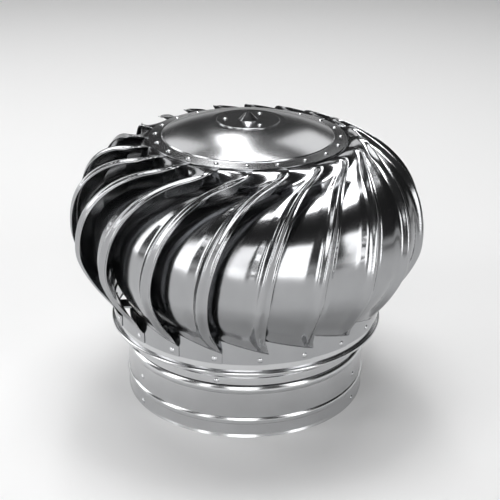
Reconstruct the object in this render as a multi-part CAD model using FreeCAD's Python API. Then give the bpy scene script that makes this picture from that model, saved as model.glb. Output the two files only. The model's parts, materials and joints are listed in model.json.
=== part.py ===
import FreeCAD, Part
import math
import os

# Roof turbine ventilator. Origin at the bottom centre of the throat, +Z up, millimetres.
# The turbine turns about Z on a fixed shaft that a three-legged bracket holds in the throat.

# Sheet metal and fits
sheet = 1.0
vane_sheet = 0.8
face_gap = 0.05
lap_gap = 0.1
foot_lap_gap = 0.42
running_gap = 0.05
rivet_gap = 0.1

# Throat tube, bottom to top
throat_radius = 148.0
bead_depth = 2.0
skirt_flare = 1.0
flare_height = 3.0
low_bead_base = 17.1
low_bead_top = 26.3
high_bead_base = 57.8
high_bead_top = 69.0
lip_top = 78.0

# Collar that stands up inside the rotor ring
collar_radius = 145.4
collar_foot = 62.0
collar_top = 97.0

# Bracket legs and hub in the throat
leg_count = 3
first_leg_angle = -147.0
leg_width = 24.0
leg_thick = 2.5
leg_bend = 8.0
foot_low = 2.0
leg_height = 52.0
leg_inner_radius = 14.0
hub_radius = 27.0
hub_thick = 6.0
hub_rivet_radius = 20.0
leg_rivet_low = 6.2
leg_rivet_high = 40.0

# Shaft and its bearings
shaft_radius = 6.0
thread_tail = 4.0
shaft_collar_radius = 9.0
washer_radius = 18.0
washer_thick = 2.0
nut_across_flats = 19.0
nut_thick = 9.0
inner_race_radius = 10.0
outer_race_radius = 14.0
race_height = 9.0
low_bearing_base = 112.0
housing_wall = 3.0
housing_flange_radius = 33.0
flange_thick = 2.5
cap_bearing_drop = 5.0
shaft_step_height = 12.0
race_seat_height = 4.0
race_seat_wall = 2.0

# Rotor ring, its bead and its arms
ring_radius = 163.6
ring_top = 118.0
ring_bead_base = 92.4
ring_bead_top = 97.0
ring_bead_depth = 4.0
arm_count = 4
arm_width = 20.0
arm_thick = 2.5
arm_height = 104.5
arm_bend = 5.0
arm_inner_radius = 20.0
arm_rivet_radius = 27.0

# Cap: dome, flange, bearing plate and cone
cap_seat_radius = 44.0
cap_seat_height = 340.2
dome_radius = 101.1
dome_edge_height = 324.6
flange_radius = 116.7
flange_inner_height = 323.4
flange_outer_height = 321.1
dome_bulge = 2.2
plate_radius = 37.3
plate_thick = 1.2
plate_bolt_radius = 27.0
plate_bolt_count = 3
cone_base_radius = 11.0
cone_tip_radius = 3.0
cone_height = 8.0

# Vanes
vane_count = 20
pitch = 360.0 / vane_count
vane_width = 23.5
first_vane_angle = 9.0
ball_radius = 216.0
equator_height = 205.0
crown_rise = 136.2
crown_fullness = 2.53
lower_drop = 189.2
lower_fullness = 1.48
vane_step = 17.0
fold_step = 13.0
fold_height = 119.0
tab_bottom = 106.0
fold_rise = 15.5
rib_width = 4.6
rib_height = 4.5
hem_share = 0.17
foot_inner_radius = 103.5
blade_end_angle = 59.5
foot_blend_radius = 142.0
blade_end_radius = 118.0
rib_end_radius = 146.0
rib_fade_length = 16.0
foot_edge_angle = 30.0
lower_rows = 8
upper_rows = 14
equator_row_angle = 1.5
row_crowding = 0.8
sew_tolerance = 0.02

# Angle of a vane's free edge past its tab, in degrees, against the envelope's own angle
sweep_below = [(0.0, 0.0), (0.25, -2.0), (0.55, -2.6), (1.0, -2.0)]
sweep_above = [(0.0, -2.0), (18.4, 1.5), (35.7, 7.3), (46.0, 14.2), (52.0, 22.0), (55.0, 27.5), (62.0, foot_edge_angle)]

# Rivets
rivet_shank = 1.6
rivet_head = 3.1
rivet_rise = 1.5
rivet_tail = 1.0
hole_radius = rivet_shank + rivet_gap
drill_reach = 14.0
ring_rivet_height = 112.3
ring_rivet_inset = 3.16
cap_rivet_circle = 109.4
cap_rivet_angle = 17.5
collar_rivet_height = 73.0
collar_rivet_angle = -103.0
collar_rivet_count = 3

up = FreeCAD.Vector(0, 0, 1)


def vec(x, y, z):
    return FreeCAD.Vector(x, y, z)


def polar(radius, angle, z):
    a = math.radians(angle)
    return vec(radius * math.cos(a), radius * math.sin(a), z)


def turned(shape, angle):
    copy = shape.copy()
    copy.rotate(vec(0, 0, 0), up, angle)
    return copy


def revolve_profile(edges):
    face = Part.Face(Part.Wire(Part.__sortEdges__(edges)))
    return face.revolve(vec(0, 0, 0), up, 360)


def line(a, b):
    return Part.makeLine(vec(a[0], 0, a[1]), vec(b[0], 0, b[1]))


def arc(a, b, c):
    return Part.Arc(vec(a[0], 0, a[1]), vec(b[0], 0, b[1]), vec(c[0], 0, c[1])).toShape()


def polygon_turned(points):
    closed = points + [points[0]]
    return revolve_profile([line(p, q) for p, q in zip(closed, closed[1:])])


def tube(inner, outer, low, high):
    return polygon_turned([(inner, low), (outer, low), (outer, high), (inner, high)])


def disc(radius, low, thick):
    return Part.makeCylinder(radius, thick, vec(0, 0, low))


def sheet_turned(path, thick):
    """Turn a sheet whose outer face follows path: runs of ('line'|'arc', points)."""
    edges = []
    for kind, pts in path:
        inner = [(r - thick, z) for r, z in pts]
        if kind == "arc":
            edges.append(arc(*pts))
            edges.append(arc(*inner))
        else:
            edges.append(line(*pts))
            edges.append(line(*inner))
    first = path[0][1][0]
    last = path[-1][1][-1]
    edges.append(line(first, (first[0] - thick, first[1])))
    edges.append(line(last, (last[0] - thick, last[1])))
    return revolve_profile(edges)


def smooth_value(knots, x):
    """Value at x on a smooth curve through the knots (x, value)."""
    if x <= knots[0][0]:
        return knots[0][1]
    if x >= knots[-1][0]:
        return knots[-1][1]
    slopes = []
    for i in range(len(knots)):
        a = knots[max(i - 1, 0)]
        b = knots[min(i + 1, len(knots) - 1)]
        slopes.append((b[1] - a[1]) / (b[0] - a[0]))
    for i in range(len(knots) - 1):
        x0, y0 = knots[i]
        x1, y1 = knots[i + 1]
        if x <= x1:
            h = x1 - x0
            s = (x - x0) / h
            start = (2 * s ** 3 - 3 * s ** 2 + 1) * y0 + (s ** 3 - 2 * s ** 2 + s) * h * slopes[i]
            return start + (-2 * s ** 3 + 3 * s ** 2) * y1 + (s ** 3 - s ** 2) * h * slopes[i + 1]


def ease(x):
    x = min(max(x, 0.0), 1.0)
    return x * x * (3 - 2 * x)


def dome_rivet(head_center, direction, grip):
    """A rivet whose head sits at head_center and whose shank runs against direction."""
    base = Part.makeCylinder(rivet_shank, grip + rivet_tail, head_center, direction * -1)
    ball_radius_here = (rivet_head ** 2 + rivet_rise ** 2) / (2 * rivet_rise)
    centre = head_center - direction * (ball_radius_here - rivet_rise)
    ball = Part.makeSphere(ball_radius_here, centre)
    keep = Part.makeCylinder(rivet_head + 1, rivet_rise + 1, head_center, direction)
    head = ball.common(keep)
    return base.fuse(head).removeSplitter()


# Throat

def bead(low, high, radius, depth):
    return ("arc", [(radius, low), (radius + depth, (low + high) / 2), (radius, high)])


lip_radius = collar_radius + face_gap + sheet


def throat_tube():
    r = throat_radius
    middle = (high_bead_base + high_bead_top) / 2
    path = [
        ("line", [(r + skirt_flare, 0), (r, flare_height)]),
        ("line", [(r, flare_height), (r, low_bead_base)]),
        bead(low_bead_base, low_bead_top, r, bead_depth),
        ("line", [(r, low_bead_top), (r, high_bead_base)]),
        ("arc", [(r, high_bead_base), (r + bead_depth, middle), (lip_radius, high_bead_top)]),
        ("line", [(lip_radius, high_bead_top), (lip_radius, lip_top)]),
    ]
    return sheet_turned(path, sheet)


def throat_collar():
    return tube(collar_radius - sheet, collar_radius, collar_foot, collar_top)


throat_inner = throat_radius - sheet
foot_face = throat_inner - face_gap


def bent_strip(face_radius, low, height, thick, bend, inner_radius, width):
    """A strip with a curved foot against a wall, bent inward to a level arm."""
    outer = [(face_radius, low), (face_radius, height - bend)]
    k = bend * (1 - math.sqrt(0.5))
    corner = [outer[1], (face_radius - k, height - k), (face_radius - bend, height)]
    inner = bend - thick
    ki = inner * (1 - math.sqrt(0.5))
    wall = face_radius - thick
    under = [(wall, height - bend), (wall - ki, height - thick - ki), (wall - inner, height - thick)]
    edges = [
        line(*outer),
        arc(*corner),
        line(corner[2], (inner_radius, height)),
        line((inner_radius, height), (inner_radius, height - thick)),
        line((inner_radius, height - thick), under[2]),
        arc(*under),
        line(under[0], (wall, low)),
        line((wall, low), outer[0]),
    ]
    ring = revolve_profile(edges)
    keep = Part.makeBox(face_radius + 10, width, height - low + 10, vec(0, -width / 2, low - 5))
    return ring.common(keep)


def leg_angles():
    return [first_leg_angle + 360.0 / leg_count * k for k in range(leg_count)]


def rivet_bore(shape, z, angle, wall_radius):
    """Drill a rivet hole straight through the wall at this radius."""
    start = polar(wall_radius + drill_reach / 2, angle, z)
    return shape.cut(Part.makeCylinder(hole_radius, drill_reach, start, polar(-1, angle, 0)))


def throat_with_holes():
    shape = throat_tube()
    for angle in leg_angles():
        for z in (leg_rivet_low, leg_rivet_high):
            shape = rivet_bore(shape, z, angle, throat_radius)
    for angle in collar_rivet_angles():
        z = collar_rivet_height
        shape = rivet_bore(shape, z, angle, throat_radius)
    return shape


def collar_rivet_angles():
    return [collar_rivet_angle + 360.0 / collar_rivet_count * k for k in range(collar_rivet_count)]


def collar_with_holes():
    shape = throat_collar()
    for angle in collar_rivet_angles():
        shape = rivet_bore(shape, collar_rivet_height, angle, collar_radius)
    return shape


def bracket_leg():
    leg = bent_strip(foot_face, foot_low, leg_height, leg_thick, leg_bend, leg_inner_radius, leg_width)
    for z in (leg_rivet_low, leg_rivet_high):
        leg = rivet_bore(leg, z, 0, throat_radius)
    hole = Part.makeCylinder(hole_radius, 3 * leg_thick, vec(hub_rivet_radius, 0, leg_height - 2 * leg_thick))
    return leg.cut(hole)


def radial_rivet(radius, angle, z, grip):
    return dome_rivet(polar(radius, angle, z), polar(1, angle, 0), grip)


def leg_rivets():
    grip = throat_radius - foot_face + leg_thick
    heads = throat_radius + face_gap
    return [radial_rivet(heads, a, z, grip) for a in leg_angles() for z in (leg_rivet_low, leg_rivet_high)]


def collar_rivets():
    heads = lip_radius + face_gap
    grip = lip_radius - collar_radius + sheet
    return [radial_rivet(heads, a, collar_rivet_height, grip) for a in collar_rivet_angles()]


# Hub, shaft and bearings

hub_base = leg_height + face_gap
hub_top = hub_base + hub_thick


def shaft_hub():
    hub = tube(shaft_radius + running_gap, hub_radius, hub_base, hub_top)
    for angle in leg_angles():
        p = polar(hub_rivet_radius, angle, hub_base - 1)
        hub = hub.cut(Part.makeCylinder(hole_radius, hub_thick + 2, p))
    return hub


def hub_rivets():
    grip = hub_top + face_gap - (leg_height - leg_thick)
    heads = hub_top + face_gap
    return [dome_rivet(polar(hub_rivet_radius, a, heads), up, grip) for a in leg_angles()]


cap_race_top = cap_seat_height - sheet - cap_bearing_drop
cap_race_base = cap_race_top - race_height
washer_top = leg_height - leg_thick - face_gap
nut_top = washer_top - washer_thick - face_gap
shaft_foot = nut_top - nut_thick - thread_tail


def shaft():
    rod = Part.makeCylinder(shaft_radius, cap_race_top - shaft_foot, vec(0, 0, shaft_foot))
    rest = hub_top + face_gap
    steps = [disc(shaft_collar_radius, rest, shaft_step_height)]
    for race in (low_bearing_base, cap_race_base):
        seat = race - face_gap
        steps.append(disc(shaft_radius + race_seat_wall, seat - race_seat_height, race_seat_height))
    return rod.fuse(steps).removeSplitter()


def shaft_washer():
    return tube(shaft_radius + running_gap, washer_radius, washer_top - washer_thick, washer_top)


def shaft_nut():
    low = nut_top - nut_thick
    corner = nut_across_flats / math.sqrt(3)
    points = [polar(corner, 60 * k, low) for k in range(7)]
    prism = Part.Face(Part.makePolygon(points)).extrude(vec(0, 0, nut_thick))
    return prism.cut(disc(shaft_radius + running_gap, low, nut_thick))


def inner_race(base):
    return tube(shaft_radius + running_gap, inner_race_radius, base, base + race_height)


def outer_race(base):
    return tube(inner_race_radius + running_gap, outer_race_radius, base, base + race_height)


# Rotor ring, arms and lower housing

def rotor_ring():
    r = ring_radius
    middle = (ring_bead_base + ring_bead_top) / 2
    path = [
        ("arc", [(r, ring_bead_base), (r + ring_bead_depth, middle), (r, ring_bead_top)]),
        ("line", [(r, ring_bead_top), (r, ring_top)]),
    ]
    return sheet_turned(path, sheet)


def ring_rivet_angles():
    return [first_vane_angle - ring_rivet_inset + pitch * k for k in range(vane_count)]


def ring_with_holes():
    shape = rotor_ring()
    for angle in ring_rivet_angles():
        shape = rivet_bore(shape, ring_rivet_height, angle, ring_radius)
    return shape


def arm_angles():
    step = vane_count // arm_count
    return ring_rivet_angles()[::step]


arm_face = ring_radius - sheet - face_gap
arm_foot_top = ring_top - 1.0


def rotor_arm():
    flipped = bent_strip(arm_face, -arm_foot_top, -arm_height, arm_thick, arm_bend, arm_inner_radius, arm_width)
    arm = flipped.mirror(vec(0, 0, 0), up)
    arm = rivet_bore(arm, ring_rivet_height, 0, ring_radius)
    hole = Part.makeCylinder(hole_radius, 4 * arm_thick, vec(arm_rivet_radius, 0, arm_height - arm_thick))
    return arm.cut(hole)


low_flange_base = arm_height + arm_thick + face_gap


def lower_housing():
    top = low_bearing_base + race_height
    bore = outer_race_radius + face_gap
    wall = bore + housing_wall
    sleeve = tube(bore, wall, low_flange_base, top)
    flange = tube(bore, housing_flange_radius, low_flange_base, low_flange_base + flange_thick)
    shape = sleeve.fuse(flange).removeSplitter()
    for angle in arm_angles():
        p = polar(arm_rivet_radius, angle, low_flange_base - 1)
        shape = shape.cut(Part.makeCylinder(hole_radius, flange_thick + 2, p))
    return shape


def arm_rivets():
    heads = low_flange_base + flange_thick + face_gap
    grip = heads - arm_height
    return [dome_rivet(polar(arm_rivet_radius, a, heads), up, grip) for a in arm_angles()]


# Cap

flange_slope = (flange_inner_height - flange_outer_height) / (flange_radius - dome_radius)

flange_slant = math.sqrt(1 + flange_slope ** 2)


def flange_height(radius):
    return flange_inner_height - flange_slope * (radius - dome_radius)


def cap_dome():
    seat_inner = shaft_collar_radius + cone_base_radius / 2
    middle_r = (cap_seat_radius + dome_radius) / 2
    middle_z = (cap_seat_height + dome_edge_height) / 2 + dome_bulge
    step_r = dome_radius + 0.8
    top = [
        ("line", [(seat_inner, cap_seat_height), (cap_seat_radius, cap_seat_height)]),
        ("arc", [(cap_seat_radius, cap_seat_height), (middle_r, middle_z), (dome_radius, dome_edge_height)]),
        ("line", [(dome_radius, dome_edge_height), (step_r, flange_height(step_r))]),
        ("line", [(step_r, flange_height(step_r)), (flange_radius, flange_height(flange_radius))]),
    ]
    edges = []
    for kind, pts in top:
        under = [(r, z - sheet) for r, z in pts]
        maker = arc if kind == "arc" else line
        edges.append(maker(*pts))
        edges.append(maker(*under))
    first = top[0][1][0]
    last = top[-1][1][-1]
    edges.append(line(first, (first[0], first[1] - sheet)))
    edges.append(line(last, (last[0], last[1] - sheet)))
    shape = revolve_profile(edges)
    for angle in cap_rivet_angles():
        shape = shape.cut(flange_bore(angle))
    return bolt_holes(shape)


def cap_rivet_angles():
    return [cap_rivet_angle + pitch * k for k in range(vane_count)]


def bolt_angles():
    return [180 + 360.0 / plate_bolt_count * k for k in range(plate_bolt_count)]


def bolt_holes(shape):
    for angle in bolt_angles():
        p = polar(plate_bolt_radius, angle, cap_seat_height - drill_reach / 2)
        shape = shape.cut(Part.makeCylinder(hole_radius, drill_reach, p))
    return shape


plate_base = cap_seat_height + face_gap
plate_top = plate_base + plate_thick


def bearing_plate():
    plate = disc(plate_radius, plate_base, plate_thick)
    rim = [e for e in plate.Edges if abs(e.BoundBox.ZMin - plate_top) < 0.01 and e.BoundBox.XLength > 1]
    return bolt_holes(plate.makeFillet(plate_thick / 2, rim))


def plate_bolts():
    grip = plate_top + face_gap - upper_housing_base
    return [dome_rivet(polar(plate_bolt_radius, a, plate_top + face_gap), up, grip) for a in bolt_angles()]


def bearing_cap():
    return Part.makeCone(cone_base_radius, cone_tip_radius, cone_height, vec(0, 0, plate_top + face_gap))


upper_housing_top = cap_seat_height - sheet - face_gap
upper_housing_base = upper_housing_top - flange_thick


def upper_housing():
    bore = outer_race_radius + face_gap
    flange = disc(housing_flange_radius, upper_housing_base, flange_thick)
    sleeve = disc(bore + housing_wall, cap_race_base, upper_housing_top - cap_race_base)
    pocket = disc(bore, cap_race_base - 1, race_height + 1)
    relief = disc(inner_race_radius, cap_race_base, race_height + face_gap * 6)
    return bolt_holes(flange.fuse(sleeve).cut(pocket).cut(relief).removeSplitter())


def cap_rivets():
    normal = flange_normal(0)
    grip = sheet + 2 * foot_lap + 2 * face_gap
    base = vec(cap_rivet_circle, 0, flange_height(cap_rivet_circle)) + normal * face_gap
    rivet = dome_rivet(base, normal, grip)
    return [turned(rivet, a) for a in cap_rivet_angles()]


# Vane

lap = vane_sheet + lap_gap
foot_lap = vane_sheet + foot_lap_gap
tab_seat = ring_radius + face_gap + vane_sheet


def tab_radius(psi):
    """Outer face of the tab, a shallow spiral that lets each tab lap over the next."""
    return tab_seat + lap * (vane_width - psi) / pitch


def foot_height(radius, psi):
    """Top face of the foot, just under the flange and lapped the same way."""
    return flange_height(radius) - (sheet + face_gap) * flange_slant - foot_lap * psi / pitch


def lower_radius(z):
    x = (equator_height - z) / lower_drop
    return ball_radius * (1 - x ** lower_fullness) ** (1 / lower_fullness)


def crown_point(angle):
    a = math.radians(angle)
    power = 2 / crown_fullness
    return ball_radius * math.cos(a) ** power, equator_height + crown_rise * math.sin(a) ** power


def rib_shape(psi):
    """Height share of the rib across the free edge: hem, steep return, crest, crease."""
    if psi >= rib_width:
        return 0.0
    x = psi / rib_width
    if x < hem_share:
        return 0.0
    u = (1 - x) / (1 - hem_share)
    return math.sin(math.pi * u ** 0.85) ** 2


def drop_below_crest(psi, fade):
    rise = rib_height * fade
    return rise * (1 - rib_shape(psi))


def fold_at(psi):
    return fold_height + fold_rise * psi / pitch


def lower_point(psi, share):
    """Point of the blade between its fold and the equator."""
    fold = fold_at(psi)
    z = fold + (equator_height - fold) * share
    fade = ease(share / 0.25)
    step = fold_step + (vane_step - fold_step) * ease(share)
    free = lower_radius(z) - drop_below_crest(psi, fade) - step * psi / pitch
    start = lower_radius(fold) - fold_step * psi / pitch
    radius = free - (start - tab_radius(psi)) * (1 - share) ** 2
    return polar(radius, smooth_value(sweep_below, share) - psi, z)


def upper_point(psi, angle):
    """Point of the blade between the equator and its foot under the flange."""
    radius, z = crown_point(angle)
    r2, z2 = crown_point(angle + 0.5)
    tilt = math.atan2(radius - r2, z2 - z)
    fade = 1 - ease((rib_end_radius - radius) / rib_fade_length)
    depth = drop_below_crest(psi, fade) + vane_step * psi / pitch
    blade_r = radius - depth * math.cos(tilt)
    blade_z = z - depth * math.sin(tilt)
    w = ease((foot_blend_radius - radius) / (foot_blend_radius - blade_end_radius))
    r = blade_r * (1 - w) + radius * w
    height = blade_z * (1 - w) + foot_height(radius, psi) * w
    return polar(r, smooth_value(sweep_above, angle) - psi, height)


def tab_point(psi, z):
    return polar(tab_radius(psi), -psi, z)


def foot_point(psi, radius):
    return polar(radius, foot_edge_angle - psi, foot_height(radius, psi))


def vane_columns():
    """Angles behind the free edge: close together over the rib, wide apart on the face."""
    rib_steps = 8
    face_steps = 7
    rib = [rib_width * k / rib_steps for k in range(rib_steps + 1)]
    face_span = vane_width - rib_width
    return rib + [rib_width + face_span * (k + 1) / face_steps for k in range(face_steps)]


def blade_column(psi):
    lower = [lower_point(psi, k / lower_rows) for k in range(lower_rows)]
    upper = []
    for k in range(upper_rows):
        share = k / (upper_rows - 1)
        angle = equator_row_angle + (blade_end_angle - equator_row_angle) * share ** row_crowding
        upper.append(upper_point(psi, angle))
    return lower + upper + [foot_point(psi, blade_end_radius)]


def grid_normal(grid, i, j):
    last_row = len(grid[0]) - 1
    across = grid[max(i - 1, 0)][j] - grid[min(i + 1, len(grid) - 1)][j]
    along = grid[i][min(j + 1, last_row)] - grid[i][max(j - 1, 0)]
    n = across.cross(along)
    n.normalize()
    return n


def mitred(point, first, second, thick):
    """Inner point below a crease between two faces with these normals."""
    middle = first + second
    middle.normalize()
    return point - middle * (thick / middle.dot(first))


def flange_normal(angle):
    n = polar(flange_slope, angle, 1)
    n.normalize()
    return n


def inner_grid(grid, columns, thick):
    rows = len(grid[0])
    inner = []
    for i, psi in enumerate(columns):
        column = [grid[i][j] - grid_normal(grid, i, j) * thick for j in range(rows)]
        column[0] = mitred(grid[i][0], polar(1, -psi, 0), grid_normal(grid, i, 0), thick)
        seat = flange_normal(foot_edge_angle - psi)
        column[-1] = mitred(grid[i][-1], seat, seat, thick)
        inner.append(column)
    return inner


def smooth_edge(points):
    curve = Part.BSplineCurve()
    curve.interpolate(points)
    return curve.toShape()


def vane_face(grid, low_edge, high_edge):
    """Blade face with the tab face below its fold and the foot face above it."""
    blade = Part.BSplineSurface()
    blade.interpolate(grid)
    u0, u1, v0, v1 = blade.bounds()
    fold = blade.vIso(v0).toShape()
    brow = blade.vIso(v1).toShape()
    faces = [blade.toShape(), Part.makeRuledSurface(low_edge, fold), Part.makeRuledSurface(brow, high_edge)]
    ends = []
    for u, i in ((u0, 0), (u1, -1)):
        side = blade.uIso(u).toShape()
        k = 0 if i == 0 else 1
        low = low_edge.valueAt(low_edge.ParameterRange[k])
        high = high_edge.valueAt(high_edge.ParameterRange[k])
        ends.append([Part.makeLine(low, grid[i][0]), side, Part.makeLine(grid[i][-1], high)])
    return faces, ends


def vane():
    columns = vane_columns()
    outer = [blade_column(psi) for psi in columns]
    inner = inner_grid(outer, columns, vane_sheet)
    outer_low = [tab_point(psi, tab_bottom) for psi in columns]
    inner_low = [p - polar(vane_sheet, -psi, 0) for p, psi in zip(outer_low, columns)]
    outer_high = [foot_point(psi, foot_inner_radius) for psi in columns]
    inner_high = [p - flange_normal(foot_edge_angle - psi) * vane_sheet for p, psi in zip(outer_high, columns)]
    lows = [smooth_edge(outer_low), smooth_edge(inner_low)]
    highs = [smooth_edge(outer_high), smooth_edge(inner_high)]
    faces, outer_ends = vane_face(outer, lows[0], highs[0])
    more, inner_ends = vane_face(inner, lows[1], highs[1])
    faces += more
    for pair in (lows, highs):
        faces.append(Part.makeRuledSurface(*pair))
    for one, other in zip(outer_ends, inner_ends):
        faces += [Part.makeRuledSurface(a, b) for a, b in zip(one, other)]
    skin = Part.makeCompound(faces)
    skin.sewShape(sew_tolerance)
    solid = Part.Solid(skin.Shells[0])
    if solid.Volume < 0:
        solid.reverse()
    for psi in (ring_rivet_inset, ring_rivet_inset + pitch):
        solid = rivet_bore(solid, ring_rivet_height, -psi, ring_radius)
    return foot_bores(solid)


def foot_bores(shape):
    first = (cap_rivet_angle - first_vane_angle) % pitch
    for k in range(3):
        angle = first + pitch * k
        if foot_edge_angle - vane_width < angle < foot_edge_angle:
            shape = shape.cut(flange_bore(angle))
    return shape


def flange_bore(angle):
    normal = flange_normal(angle)
    centre = polar(cap_rivet_circle, angle, flange_height(cap_rivet_circle))
    return Part.makeCylinder(hole_radius, drill_reach, centre - normal * drill_reach / 2, normal)


def ring_rivets():
    psi = ring_rivet_inset
    heads = tab_radius(psi) + face_gap
    grip = heads - ring_radius + sheet
    arms = [round(a, 3) for a in arm_angles()]
    rivets = []
    for a in ring_rivet_angles():
        longer = arm_thick + face_gap if round(a, 3) in arms else 0
        rivets.append(radial_rivet(heads, a, ring_rivet_height, grip + longer))
    return rivets


def save(name, shape):
    if isinstance(shape, list):
        shape = Part.makeCompound(shape)
    if not shape.isValid():
        print("invalid", name)
    print(name, len(shape.Solids), "solids", round(shape.Volume))
    shape.exportStep("parts/" + name + ".step")


os.makedirs("parts", exist_ok=True)
save("throat_tube", throat_with_holes())
save("throat_collar", collar_with_holes())
leg = bracket_leg()
for k, angle in enumerate(leg_angles()):
    save("bracket_leg_" + str(k + 1), turned(leg, angle))
save("leg_rivets", leg_rivets())
save("collar_rivets", collar_rivets())
save("shaft_hub", shaft_hub())
save("hub_rivets", hub_rivets())
save("shaft", shaft())
save("shaft_washer", shaft_washer())
save("shaft_nut", shaft_nut())
save("lower_inner_race", inner_race(low_bearing_base))
save("upper_inner_race", inner_race(cap_race_base))
save("cap_dome", cap_dome())
save("bearing_plate", bearing_plate())
save("plate_bolts", plate_bolts())
save("bearing_cap", bearing_cap())
save("upper_housing", upper_housing())
save("upper_outer_race", outer_race(cap_race_base))
save("lower_housing", lower_housing())
save("lower_outer_race", outer_race(low_bearing_base))
arm = rotor_arm()
for k, angle in enumerate(arm_angles()):
    save("rotor_arm_" + str(k + 1), turned(arm, angle))
save("arm_rivets", arm_rivets())
save("rotor_ring", ring_with_holes())
save("ring_rivets", ring_rivets())
save("cap_rivets", cap_rivets())
one_vane = vane()
for k in range(vane_count):
    save("vane_%02d" % (k + 1), turned(one_vane, first_vane_angle + pitch * k))
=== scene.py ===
import json
import math

import bpy
from mathutils import Matrix, Vector


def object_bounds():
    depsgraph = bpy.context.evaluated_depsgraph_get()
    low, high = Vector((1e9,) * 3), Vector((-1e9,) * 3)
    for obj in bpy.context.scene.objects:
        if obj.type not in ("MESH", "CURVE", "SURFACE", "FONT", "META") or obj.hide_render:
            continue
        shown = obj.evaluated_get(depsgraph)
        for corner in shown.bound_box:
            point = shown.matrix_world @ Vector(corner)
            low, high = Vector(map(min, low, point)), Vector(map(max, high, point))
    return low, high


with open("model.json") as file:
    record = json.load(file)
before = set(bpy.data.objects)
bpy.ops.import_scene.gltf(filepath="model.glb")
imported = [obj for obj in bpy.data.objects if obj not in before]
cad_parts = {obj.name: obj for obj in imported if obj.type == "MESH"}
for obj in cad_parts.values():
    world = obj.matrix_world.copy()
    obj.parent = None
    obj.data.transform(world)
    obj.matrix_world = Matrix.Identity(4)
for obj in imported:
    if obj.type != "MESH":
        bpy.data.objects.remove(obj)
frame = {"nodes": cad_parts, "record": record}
cad_low, cad_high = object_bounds()
nodes = frame["nodes"]

# Where the camera stands, read from how the rims and rivets foreshorten, in metres and degrees.
# It looks down at a point on the axis, then a little to the right of it and above, with a small roll.
aim_point = Vector((0, 0, 0.150))
camera_distance = 1.3359
camera_elevation = 24.78
aim_right = 0.183
aim_up = 0.944
camera_roll = 0.797

# Lens: its focal length and the width of the frame in pixels, and the sensor's width in millimetres.
focal_pixels = 1076.3
frame_pixels = 500.0
sensor_width = 36.0

# Floor of the studio, with its width in metres.
floor_colour = (0.88, 0.88, 0.88)
floor_size = 30.0
floor_roughness = 0.9

# Brightness of the room's walls at two heights, each given as the sine of its elevation.
room_levels = ((0.04, 0.6), (0.2, 0.02))

# Soft panels: name, bearing, elevation, distance, width, height and brightness, in degrees and metres.
panels = (
    ("back_key_panel", 187, 56, 3.0, 0.36, 1.6, 7.0),
    ("right_key_panel", 150, 75, 3.0, 1.2, 0.9, 7.5),
    ("left_key_panel", 222, 75, 3.0, 1.2, 0.9, 7.5),
    ("back_left_panel", 212, 38, 3.2, 0.9, 1.4, 1.2),
    ("back_right_panel", 154, 36, 3.2, 1.1, 1.4, 1.2),
    ("front_panel", -2, 20, 3.4, 1.5, 2.8, 3.1),
    ("front_left_panel", -36, 20, 3.4, 0.6, 2.8, 2.6),
    ("left_panel", -68, 20, 3.4, 1.0, 2.8, 3.1),
    ("far_left_panel", -108, 20, 3.4, 1.1, 2.8, 3.0),
    ("right_panel", 48, 20, 3.4, 1.0, 2.8, 3.1),
)

# Finishes: name, tone, roughness, and the depth and size of the soft waves in the sheet, in metres.
finishes = (
    # The vanes' tone is set darker than the steel's own, as painted shade that darkens the lower vanes.
    ("vane_sheet_painted_shade", (0.4, 0.405, 0.415), 0.17, 0.0003, 0.12),
    # The round walls' tone is set paler than the vanes' though they are the same steel, as painted light.
    ("wall_sheet_painted_light", (0.62, 0.625, 0.635), 0.18, 0.0003, 0.12),
    ("spun_cap", (0.54, 0.545, 0.555), 0.2, 0.0001, 0.2),
    ("rivet_steel", (0.6, 0.605, 0.62), 0.14, 0.0002, 0.02),
    ("turned_steel", (0.5, 0.505, 0.52), 0.28, 0.0002, 0.05),
)

# What all finishes share: handling haze and rolling marks, as spots per metre, with what each adds
# to the roughness, the tone of the haze, and how strongly the waves tilt the surface.
haze_scale = 38.0
haze_detail = 5.0
haze_grain = 0.6
haze_roughness = 0.06
haze_tone = 0.93
haze_range = (0.3, 0.7)
mark_scale = 900.0
mark_detail = 2.0
mark_roughness = 0.03
wave_detail = 1.0
wave_strength = 0.35
noise_middle = 0.5

# The finish of each material slot, and the pieces whose finish differs from the rolled sheet of the
# vanes: the cap is spun on a lathe and shines more softly, and the round walls are the same steel as
# the vanes, given a paler tone as painted light, while the vanes' tone is darkened as painted shade.
slot_finishes = {
    # The polished sheet of the vanes takes the darkened tone, painted shade.
    "polished_sheet": "vane_sheet_painted_shade",
    "fastener_steel": "rivet_steel",
    "machined_steel": "turned_steel",
}
spun_pieces = ("cap_dome", "bearing_plate", "bearing_cap")
painted_light_pieces = ("throat_tube", "throat_collar", "rotor_ring")


class Value:
    """A shader socket that takes part in plain arithmetic."""

    def __init__(self, tree, socket):
        self.tree = tree
        self.socket = socket

    def _math(self, kind, first, second):
        return self.tree.add("ShaderNodeMath", "Value", {"operation": kind}, (first, second))

    def __add__(self, other):
        return self._math("ADD", self, other)

    __radd__ = __add__

    def __sub__(self, other):
        return self._math("SUBTRACT", self, other)

    def __rsub__(self, other):
        return self._math("SUBTRACT", other, self)

    def __mul__(self, other):
        return self._math("MULTIPLY", self, other)

    __rmul__ = __mul__


def set_stops(ramp, stops):
    for element, (place, colour) in zip(ramp.elements, stops):
        element.position = place
        element.color = (*colour, 1.0)


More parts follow.
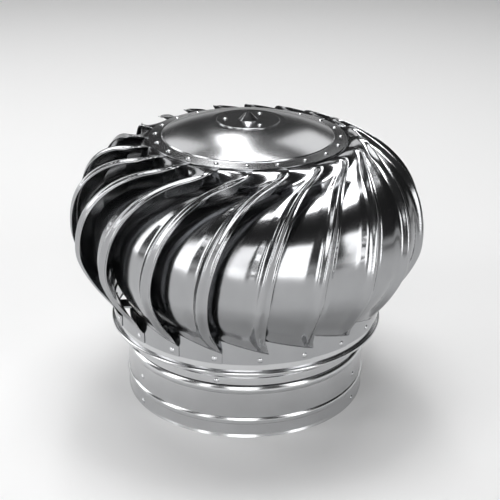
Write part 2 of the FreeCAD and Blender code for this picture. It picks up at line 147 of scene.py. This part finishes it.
class Tree:
    """A node tree with short ways to add a node and to feed a socket."""

    def __init__(self, tree):
        self.nodes = tree.nodes
        self.links = tree.links

    def add(self, kind, output, settings=None, ordered=(), **named):
        """Set up a node, feed its sockets by their order or names, and return one of its outputs."""
        node = self.nodes.new(kind)
        for key, item in (settings or {}).items():
            if key == "stops":
                set_stops(node.color_ramp, item)
            elif key == "interpolation":
                node.color_ramp.interpolation = item
            else:
                setattr(node, key, item)
        for place, item in enumerate(ordered):
            self.feed(node.inputs[place], item)
        for key, item in named.items():
            self.feed(node.inputs[key], item)
        return Value(self, node.outputs[output])

    def feed(self, socket, item):
        if isinstance(item, Value):
            self.links.new(item.socket, socket)
        else:
            socket.default_value = item


class Finish(Tree):
    """A named material with one Principled shader."""

    def __init__(self, name):
        self.material = bpy.data.materials.new(name)
        self.material.use_nodes = True
        super().__init__(self.material.node_tree)
        self.shader = self.nodes["Principled BSDF"]

    def shade(self, name, item):
        self.feed(self.shader.inputs[name], item)


def rolled_steel(name, tone, roughness, wave_depth, wave_size):
    """Bright rolled sheet: faint rolling marks, soft waves and fine handling haze."""
    steel = Finish(name)
    steel.shade("Metallic", 1.0)
    place = steel.add("ShaderNodeTexCoord", "Object")
    haze = steel.add(
        "ShaderNodeTexNoise", "Fac",
        Vector=place, Scale=haze_scale, Detail=haze_detail, Roughness=haze_grain,
    )
    marks = steel.add("ShaderNodeTexNoise", "Fac", Vector=place, Scale=mark_scale, Detail=mark_detail)
    waves = steel.add("ShaderNodeTexNoise", "Fac", Vector=place, Scale=1.0 / wave_size, Detail=wave_detail)
    dull = tuple(channel * haze_tone for channel in tone)
    colour = steel.add("ShaderNodeValToRGB", "Color", {"stops": zip(haze_range, (dull, tone))}, Fac=haze)
    steel.shade("Base Color", colour)
    hazy = (haze - noise_middle) * haze_roughness
    marked = (marks - noise_middle) * mark_roughness
    steel.shade("Roughness", roughness + hazy + marked)
    bump = steel.add("ShaderNodeBump", "Normal", Strength=wave_strength, Distance=wave_depth, Height=waves)
    steel.shade("Normal", bump)
    return steel.material


def dress():
    """Give each piece its own finish, or else that of its material slot."""
    steels = {finish[0]: rolled_steel(*finish) for finish in finishes}
    own = {name: "spun_cap" for name in spun_pieces}
    # The round walls take the paler tone, painted light.
    own.update({name: "wall_sheet_painted_light" for name in painted_light_pieces})
    slots = {part["node"]: part["material_slot"] for part in frame["record"]["subparts"]}
    for name, piece in nodes.items():
        finish = own.get(name, slot_finishes[slots[name]])
        piece.data.materials.clear()
        piece.data.materials.append(steels[finish])


def outward(bearing, elevation):
    """Direction away from the fan. Bearing runs from the camera's side to the right, in degrees."""
    turn = math.radians(bearing)
    rise = math.radians(elevation)
    return Vector((math.sin(turn) * math.cos(rise), -math.cos(turn) * math.cos(rise), math.sin(rise)))


def place_camera():
    ahead = -outward(0, camera_elevation)
    spot = aim_point - ahead * camera_distance
    side = Vector((1, 0, 0))
    above = side.cross(ahead)
    ahead += side * math.tan(math.radians(aim_right)) + above * math.tan(math.radians(aim_up))
    ahead.normalize()
    side = ahead.cross(Vector((0, 0, 1))).normalized()
    above = side.cross(ahead)
    roll = math.radians(camera_roll)
    right = side * math.cos(roll) + above * math.sin(roll)
    top = above * math.cos(roll) - side * math.sin(roll)
    lens = bpy.data.cameras.new("camera")
    lens.sensor_width = sensor_width
    lens.lens = sensor_width * focal_pixels / frame_pixels
    camera = bpy.data.objects.new("camera", lens)
    turn = Matrix((right, top, -ahead)).transposed().to_4x4()
    camera.matrix_world = Matrix.Translation(spot) @ turn
    bpy.context.scene.collection.objects.link(camera)
    bpy.context.scene.camera = camera


def panel_light(name, bearing, elevation, away, width, height, level):
    """A soft panel facing the fan, as bright all over its face as its level says."""
    out = outward(bearing, elevation)
    lamp = bpy.data.lights.new(name, "AREA")
    lamp.shape = "RECTANGLE"
    lamp.size = width
    lamp.size_y = height
    lamp.energy = level * math.pi * width * height
    light = bpy.data.objects.new(name, lamp)
    light.location = aim_point + out * away
    light.rotation_mode = "QUATERNION"
    light.rotation_quaternion = (-out).to_track_quat("-Z", "Y")
    bpy.context.scene.collection.objects.link(light)


def room():
    """Walls pale at the floor and dark above, so that polished sheet shows both."""
    world = bpy.data.worlds.new("room")
    world.use_nodes = True
    bpy.context.scene.world = world
    walls = Tree(world.node_tree)
    ray = walls.add("ShaderNodeTexCoord", "Generated")
    height = walls.add("ShaderNodeSeparateXYZ", "Z", Vector=ray)
    stops = [(place, (level, level, level)) for place, level in room_levels]
    colour = walls.add("ShaderNodeValToRGB", "Color", {"interpolation": "EASE", "stops": stops}, Fac=height)
    walls.feed(walls.nodes["Background"].inputs["Color"], colour)


def studio():
    bpy.ops.object.select_all(action="DESELECT")
    bpy.ops.mesh.primitive_plane_add(size=floor_size, location=(0, 0, cad_low.z))
    floor = bpy.context.active_object
    floor.name = "floor"
    paint = Finish("studio_floor")
    paint.shade("Base Color", (*floor_colour, 1.0))
    paint.shade("Roughness", floor_roughness)
    floor.data.materials.append(paint.material)
    room()
    for panel in panels:
        panel_light(*panel)


dress()
place_camera()
studio()
bpy.context.scene.view_settings.view_transform = "Standard"
